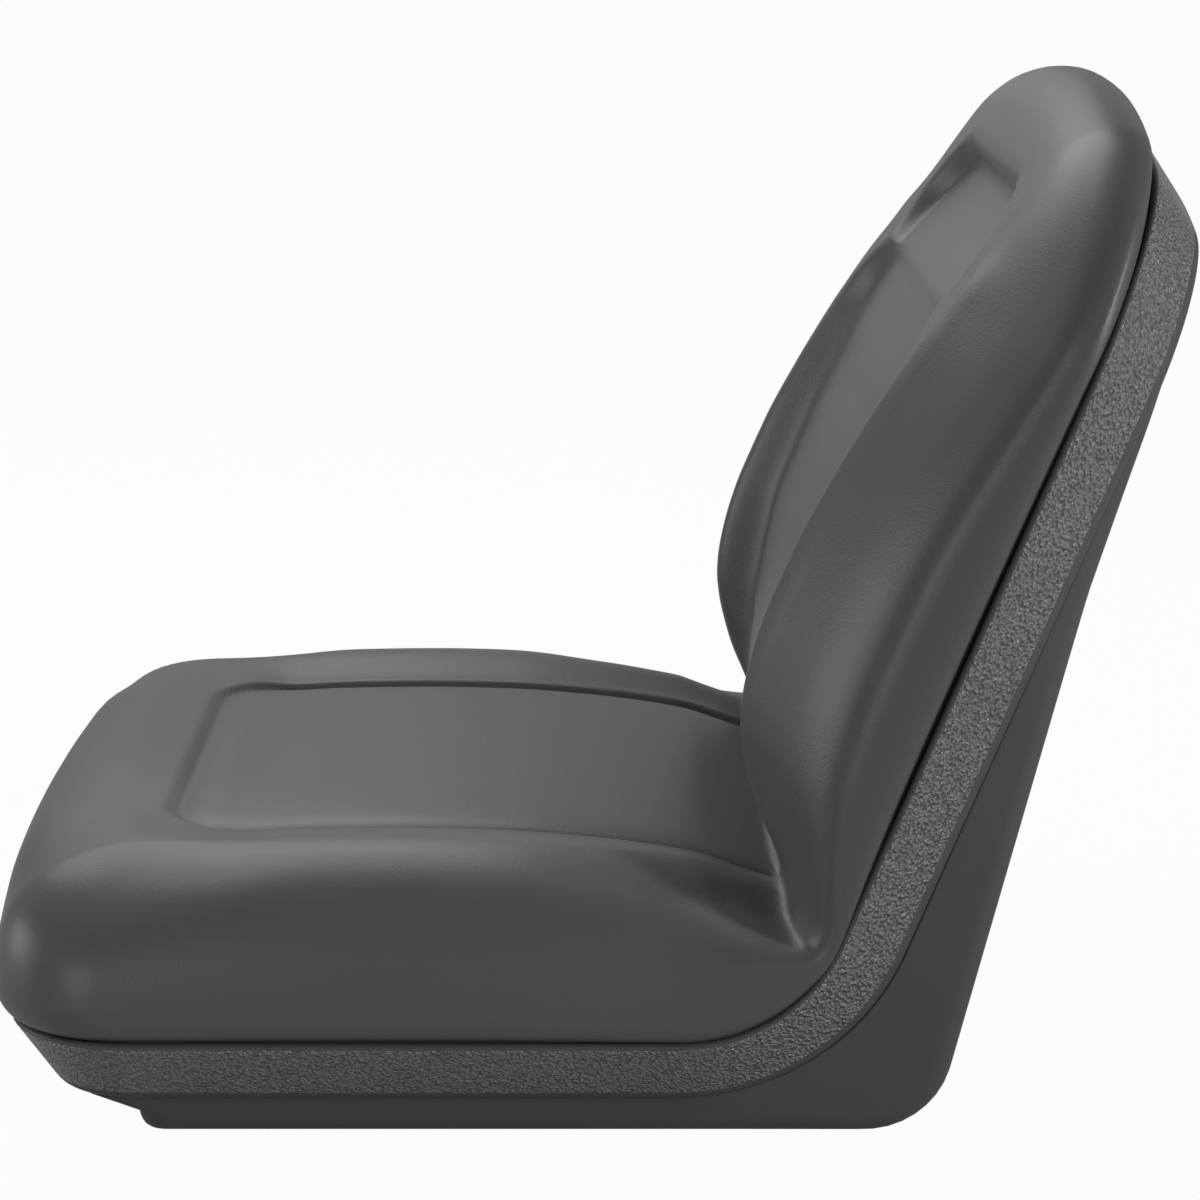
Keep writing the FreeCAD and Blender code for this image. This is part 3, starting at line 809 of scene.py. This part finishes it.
def grain_group():
    """Moulded grain: tops of fine cells and soft cloudiness, in the part's own place."""
    group = bpy.data.node_groups.new("moulded_grain", "ShaderNodeTree")
    face = group.interface
    for name, start in (("Cell Scale", 900.0), ("Cloud Scale", 9.0)):
        socket = face.new_socket(name=name, in_out="INPUT", socket_type="NodeSocketFloat")
        socket.default_value = start
    for name in ("Cells", "Cloud"):
        face.new_socket(name=name, in_out="OUTPUT", socket_type="NodeSocketFloat")
    nodes, links = group.nodes, group.links
    enter = nodes.new("NodeGroupInput")
    leave = nodes.new("NodeGroupOutput")
    place = nodes.new("ShaderNodeTexCoord")
    cells = nodes.new("ShaderNodeTexVoronoi")
    cells.feature = "SMOOTH_F1"
    links.new(place.outputs["Object"], cells.inputs["Vector"])
    links.new(enter.outputs["Cell Scale"], cells.inputs["Scale"])
    tops = nodes.new("ShaderNodeMath")
    tops.operation = "MULTIPLY_ADD"
    tops.use_clamp = True
    tops.inputs[1].default_value = CELL_FALL
    tops.inputs[2].default_value = 1.0
    links.new(cells.outputs["Distance"], tops.inputs[0])
    links.new(tops.outputs[0], leave.inputs["Cells"])
    cloud = nodes.new("ShaderNodeTexNoise")
    cloud.inputs["Detail"].default_value = CLOUD_DETAIL
    links.new(place.outputs["Object"], cloud.inputs["Vector"])
    links.new(enter.outputs["Cloud Scale"], cloud.inputs["Scale"])
    links.new(cloud.outputs["Fac"], leave.inputs["Cloud"])
    return group


GRAIN = grain_group()


def moulded(name, dark, light, rough, cell, cloud, depth, tall=0.0004, shine=0.5, painted_glint_share=0.0, metal=0.0):
    """Moulded finish: cloudy colour, roughness and grain, with a share of painted glint on the grain tops and
    painted shade between them.
    """
    made = bpy.data.materials.new(name)
    made.use_nodes = True
    nodes, links = made.node_tree.nodes, made.node_tree.links
    nodes.clear()
    out = nodes.new("ShaderNodeOutputMaterial")
    shader = nodes.new("ShaderNodeBsdfPrincipled")
    shader.inputs["Specular IOR Level"].default_value = shine
    shader.inputs["Metallic"].default_value = metal
    links.new(shader.outputs[0], out.inputs[0])
    grain = nodes.new("ShaderNodeGroup")
    grain.node_tree = GRAIN
    grain.inputs["Cell Scale"].default_value = cell
    grain.inputs["Cloud Scale"].default_value = cloud
    # Share of the tone that follows the grain's cells: a painted glint on their tops, painted shade in the
    # hollows between.
    glint_tone_mix = nodes.new("ShaderNodeMix")
    glint_tone_mix.inputs[MIX_FACTOR].default_value = painted_glint_share
    for socket, output in zip(MIX_FLOATS, ("Cloud", "Cells")):
        links.new(grain.outputs[output], glint_tone_mix.inputs[socket])
    tone = nodes.new("ShaderNodeMix")
    tone.data_type = "RGBA"
    for socket, colour in zip(MIX_COLOURS, (dark, light)):
        tone.inputs[socket].default_value = (*colour, 1.0)
    links.new(glint_tone_mix.outputs[0], tone.inputs[MIX_FACTOR])
    links.new(tone.outputs[MIX_COLOUR_OUT], shader.inputs["Base Color"])
    polish = nodes.new("ShaderNodeMapRange")
    polish.inputs["To Min"].default_value = rough[0]
    polish.inputs["To Max"].default_value = rough[1]
    links.new(grain.outputs["Cloud"], polish.inputs["Value"])
    links.new(polish.outputs[0], shader.inputs["Roughness"])
    bump = nodes.new("ShaderNodeBump")
    bump.inputs["Strength"].default_value = depth
    bump.inputs["Distance"].default_value = tall
    links.new(grain.outputs["Cells"], bump.inputs["Height"])
    links.new(bump.outputs[0], shader.inputs["Normal"])
    return made


vinyl = moulded(
    "cushion_vinyl", dark=(0.088, 0.087, 0.083), light=(0.102, 0.101, 0.097), rough=(0.38, 0.45),
    cell=1000.0, cloud=7.0, depth=0.15, shine=0.45)
plastic = moulded(
    "pan_plastic", dark=(0.073, 0.073, 0.071), light=(0.086, 0.086, 0.084), rough=(0.46, 0.58),
    cell=1000.0, cloud=9.0, depth=0.12, shine=0.3)
# Pebbled band: the light tone on the grain tops is a painted glint, and the dark tone between them is painted
# shade.
pebble = moulded(
    "pan_pebble", dark=(0.085, 0.085, 0.085), light=(0.33, 0.33, 0.33), rough=(0.24, 0.34),
    cell=700.0, cloud=9.0, depth=1.0, tall=0.0016, painted_glint_share=0.9)
steel = moulded(
    "insert_steel", dark=(0.50, 0.49, 0.45), light=(0.62, 0.60, 0.55), rough=(0.28, 0.40),
    cell=1500.0, cloud=60.0, depth=0.05, metal=1.0)

# Pieces


def add_piece(name, mesh, *finishes):
    piece = bpy.data.objects.new(name, mesh)
    bpy.context.scene.collection.objects.link(piece)
    for finish in finishes:
        mesh.materials.append(finish)
    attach(piece, "root")
    return piece


def dress(node, finish):
    """Gives a finish to the solids of a CAD node."""
    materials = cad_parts[node].data.materials
    materials.clear()
    materials.append(finish)


seat_cushion = add_piece("cushion_skin", cushion_mesh(), vinyl)
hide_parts("seat_cushion")

seat_pan = add_piece("pan_shell", pan_mesh(), plastic, pebble)
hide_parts("seat_pan")

dress("threaded_inserts", steel)

# Stage: a white background that mostly leaves the light on the object alone

FLOOR_HALF = 30.0           # metres
FLOOR_Z = -0.0005
FLOOR_GREY = (0.55, 0.55, 0.55, 1.0)
FLOOR_WHITE = 0.965         # share of plain white that the eye sees on the floor
SKY_FILL = 0.09             # strength of the world as a light
SKY_WHITE = 1.0             # strength of the world as a background
GLOSS_SHARE = 0.15          # share of that white that glossy surfaces show


def background_rays(nodes, links):
    """Share of the white background that a ray from the eye, a gloss or a glass sees."""
    path = nodes.new("ShaderNodeLightPath")
    gloss = nodes.new("ShaderNodeMath")
    gloss.operation = "MULTIPLY"
    gloss.inputs[1].default_value = GLOSS_SHARE
    links.new(path.outputs["Is Glossy Ray"], gloss.inputs[0])
    seen = path.outputs["Is Camera Ray"]
    for other in (path.outputs["Is Transmission Ray"], gloss.outputs[0]):
        either = nodes.new("ShaderNodeMath")
        either.operation = "MAXIMUM"
        links.new(seen, either.inputs[0])
        links.new(other, either.inputs[1])
        seen = either.outputs[0]
    return seen


def stage_white(name):
    """Floor that is white to the eye and still takes a soft shadow."""
    made = bpy.data.materials.new(name)
    made.use_nodes = True
    nodes, links = made.node_tree.nodes, made.node_tree.links
    nodes.clear()
    out = nodes.new("ShaderNodeOutputMaterial")
    paint = nodes.new("ShaderNodeBsdfDiffuse")
    paint.inputs["Color"].default_value = FLOOR_GREY
    glow = nodes.new("ShaderNodeEmission")
    share = nodes.new("ShaderNodeMath")
    share.operation = "MULTIPLY"
    share.inputs[1].default_value = FLOOR_WHITE
    mix = nodes.new("ShaderNodeMixShader")
    links.new(background_rays(nodes, links), share.inputs[0])
    links.new(share.outputs[0], mix.inputs[0])
    links.new(paint.outputs[0], mix.inputs[1])
    links.new(glow.outputs[0], mix.inputs[2])
    links.new(mix.outputs[0], out.inputs[0])
    return made


def add_world():
    """World that is white to the eye and a weak even light."""
    world = bpy.data.worlds.new("studio")
    bpy.context.scene.world = world
    world.use_nodes = True
    nodes, links = world.node_tree.nodes, world.node_tree.links
    nodes.clear()
    out = nodes.new("ShaderNodeOutputWorld")
    sky = nodes.new("ShaderNodeBackground")
    sky.inputs["Color"].default_value = (1.0, 1.0, 1.0, 1.0)
    level = nodes.new("ShaderNodeMapRange")
    level.inputs["To Min"].default_value = SKY_FILL
    level.inputs["To Max"].default_value = SKY_WHITE
    links.new(background_rays(nodes, links), level.inputs["Value"])
    links.new(level.outputs[0], sky.inputs["Strength"])
    links.new(sky.outputs[0], out.inputs[0])


floor_mesh = bpy.data.meshes.new("floor")
floor_corners = [(-1, -1), (1, -1), (1, 1), (-1, 1)]
floor_mesh.from_pydata([(x * FLOOR_HALF, y * FLOOR_HALF, 0.0) for x, y in floor_corners], [], [(0, 1, 2, 3)])
floor_mesh.materials.append(stage_white("floor_white"))
floor = bpy.data.objects.new("floor", floor_mesh)
bpy.context.scene.collection.objects.link(floor)
floor.location.z = FLOOR_Z
add_world()

# Camera and lamps, in metres

EYE_AT = Vector((0.0, 0.048, 0.200))
EYE_FAR = 1.7865
EYE_UP = math.radians(12.43)
SENSOR = 36.0               # millimetres
FOCAL_PX = 3567.0           # focal length in the photograph's pixels
PHOTO_PX = 1200.0           # width of the photograph
WARM = (1.0, 0.985, 0.955)
COOL = (0.92, 0.95, 1.0)
PLAIN = (1.0, 1.0, 1.0)


def aim(obj, at):
    """Puts a lamp or camera in the scene, turned to the middle of the object."""
    bpy.context.scene.collection.objects.link(obj)
    obj.location = at
    obj.rotation_mode = "QUATERNION"
    obj.rotation_quaternion = (EYE_AT - Vector(at)).to_track_quat("-Z", "Y")


def lamp(name, at, size, power, tone):
    data = bpy.data.lights.new(name, "AREA")
    data.shape = "RECTANGLE"
    data.size, data.size_y = size
    data.energy = power
    data.color = tone
    aim(bpy.data.objects.new(name, data), at)


lamp("key_box", (-0.95, -0.45, 1.5), (1.3, 1.3), 14.5, WARM)
lamp("wall_box", (-2.6, -0.2, 0.9), (3.4, 1.6), 4.0, PLAIN)
lamp("nose_box", (0.0, -2.0, 0.6), (0.8, 0.8), 10.5, WARM)
lamp("front_box", (1.9, -1.0, 0.5), (0.22, 0.40), 5.6, COOL)
lamp("side_box", (1.25, 2.0, 0.75), (0.22, 1.2), 31.0, COOL)

eye_data = bpy.data.cameras.new("eye")
eye_data.sensor_width = SENSOR
eye_data.lens = FOCAL_PX / PHOTO_PX * SENSOR
eye = bpy.data.objects.new("eye", eye_data)
aim(eye, EYE_AT + EYE_FAR * Vector((math.cos(EYE_UP), 0.0, math.sin(EYE_UP))))
bpy.context.scene.camera = eye
bpy.context.scene.view_settings.view_transform = "Standard"
